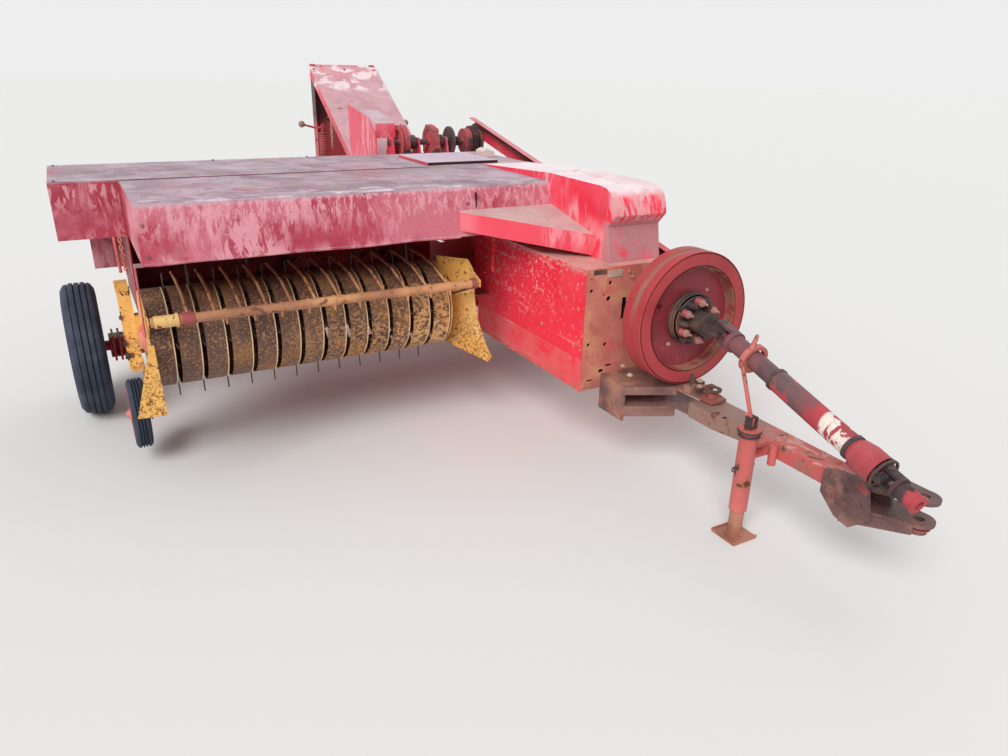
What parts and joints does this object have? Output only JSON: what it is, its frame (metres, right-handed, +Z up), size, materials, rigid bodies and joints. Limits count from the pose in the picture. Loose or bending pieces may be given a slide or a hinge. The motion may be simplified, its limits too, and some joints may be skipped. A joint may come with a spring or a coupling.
{
  "type": "square baler",
  "caption": "Towed square baler: right-hand pickup under a feeder hood, lengthwise bale chamber, flywheel, swinging tongue with drive shaft and jack, folded bale chute.",
  "frame": {"origin": "on the ground under the middle of the model's box", "axes": "+X to the machine's left, +Y to its rear, where the bales leave, +Z up"},
  "size_m": [2.9584, 5.2138, 1.662],
  "materials": {
    "red_paint": "matte",
    "orange_paint": "matte",
    "faded_paint": "matte",
    "rusted_steel": "matte",
    "dark_iron": "matte",
    "worn_steel": "satin",
    "tyre_rubber": "matte"
  },
  "bodies": {
    "frame": {"front_plate": "rusted_steel", "front_box": "red_paint", "bale_chamber": "red_paint", "bale_tension": "red_paint", "gearbox": "dark_iron", "plunger": "worn_steel", "drive_shield": "red_paint", "step_shelf": "faded_paint", "feeder_hood": "faded_paint", "feeder_cover": "faded_paint", "feeder_platform": "red_paint", "feeder_bar": "worn_steel", "main_axle": "red_paint", "needle_yoke": "rusted_steel", "knotter_frame": "red_paint", "knotter_shaft": "dark_iron", "chain_guard": "red_paint", "drive_chain": "dark_iron", "twine_box": "red_paint", "tongue_bracket": "rusted_steel"},
    "twine_lid": {"twine_lid": "red_paint"},
    "right_wheel": {"right_rim": "red_paint", "right_tyre": "tyre_rubber"},
    "left_wheel": {"left_rim": "red_paint", "left_tyre": "tyre_rubber"},
    "pickup": {"pickup_frame": "orange_paint", "pickup_bands": "rusted_steel", "crop_dividers": "orange_paint", "gauge_arm": "orange_paint"},
    "gauge_wheel": {"gauge_rim": "worn_steel", "gauge_tyre": "tyre_rubber"},
    "wind_guard": {"wind_guard": "orange_paint"},
    "reel": {"pickup_reel": "worn_steel"},
    "flywheel": {"flywheel": "red_paint", "slip_clutch": "dark_iron"},
    "drive_shaft": {"shaft_tube": "red_paint", "shaft_bell": "red_paint"},
    "tongue": {"tongue": "red_paint", "hitch": "rusted_steel", "jack_tube": "red_paint", "shaft_cradle": "red_paint"},
    "jack_leg": {"jack_leg": "rusted_steel"},
    "chute_base": {"chute_base": "red_paint"},
    "chute_extension": {"chute_extension": "faded_paint"}
  },
  "joints": [
    {"name": "right_wheel_spin", "type": "hinge", "parent": "frame", "child": "right_wheel", "pos_m": [-1.40175, 0.38493, 0.326], "axis": [1, 0, 0], "continuous": true},
    {"name": "left_wheel_spin", "type": "hinge", "parent": "frame", "child": "left_wheel", "pos_m": [1.31725, 0.38493, 0.365], "axis": [1, 0, 0], "continuous": true},
    {"name": "pickup_lift", "type": "hinge", "parent": "frame", "child": "pickup", "pos_m": [-0.52775, -0.03807, 0.52], "axis": [1, 0, 0], "range_deg": [0, 12]},
    {"name": "gauge_wheel_spin", "type": "hinge", "parent": "pickup", "child": "gauge_wheel", "pos_m": [-1.24275, -0.29807, 0.222], "axis": [1, 0, 0], "continuous": true},
    {"name": "reel_spin", "type": "hinge", "parent": "pickup", "child": "reel", "pos_m": [-0.52775, -0.42807, 0.597], "axis": [1, 0, 0], "continuous": true},
    {"name": "wind_guard_swing", "type": "hinge", "parent": "pickup", "child": "wind_guard", "pos_m": [-0.52775, -0.69807, 0.742], "axis": [1, 0, 0], "range_deg": [0, 20]},
    {"name": "flywheel_spin", "type": "hinge", "parent": "frame", "child": "flywheel", "pos_m": [0.83725, -1.47407, 0.706], "axis": [0, -1, 0], "continuous": true},
    {"name": "tongue_swing", "type": "hinge", "parent": "frame", "child": "tongue", "pos_m": [0.83725, -1.63307, 0.365], "axis": [0, 0, -1], "range_deg": [0, 28]},
    {"name": "drive_shaft_spin", "type": "hinge", "parent": "tongue", "child": "drive_shaft", "pos_m": [0.83725, -1.63307, 0.706], "axis": [-0.0707, -0.9629, -0.2605], "continuous": true},
    {"name": "jack_slide", "type": "slide", "parent": "tongue", "child": "jack_leg", "axis": [0, 0, 1], "range_m": [0, 0.1]},
    {"name": "chute_fold", "type": "hinge", "parent": "frame", "child": "chute_base", "pos_m": [0.69225, 2.58693, 0.545], "axis": [-1, 0, 0], "range_deg": [0, 100]},
    {"name": "chute_extension_fold", "type": "hinge", "parent": "chute_base", "child": "chute_extension", "pos_m": [0.69225, 2.59193, 1.652], "axis": [-1, 0, 0], "range_deg": [0, 122]},
    {"name": "twine_lid_open", "type": "hinge", "parent": "frame", "child": "twine_lid", "pos_m": [1.16125, 0.15193, 1.054], "axis": [0, -1, 0], "range_deg": [0, 85]}
  ],
  "couplings": [
    {"joint": "drive_shaft_spin", "follows": "flywheel_spin", "ratio": 1}
  ]
}
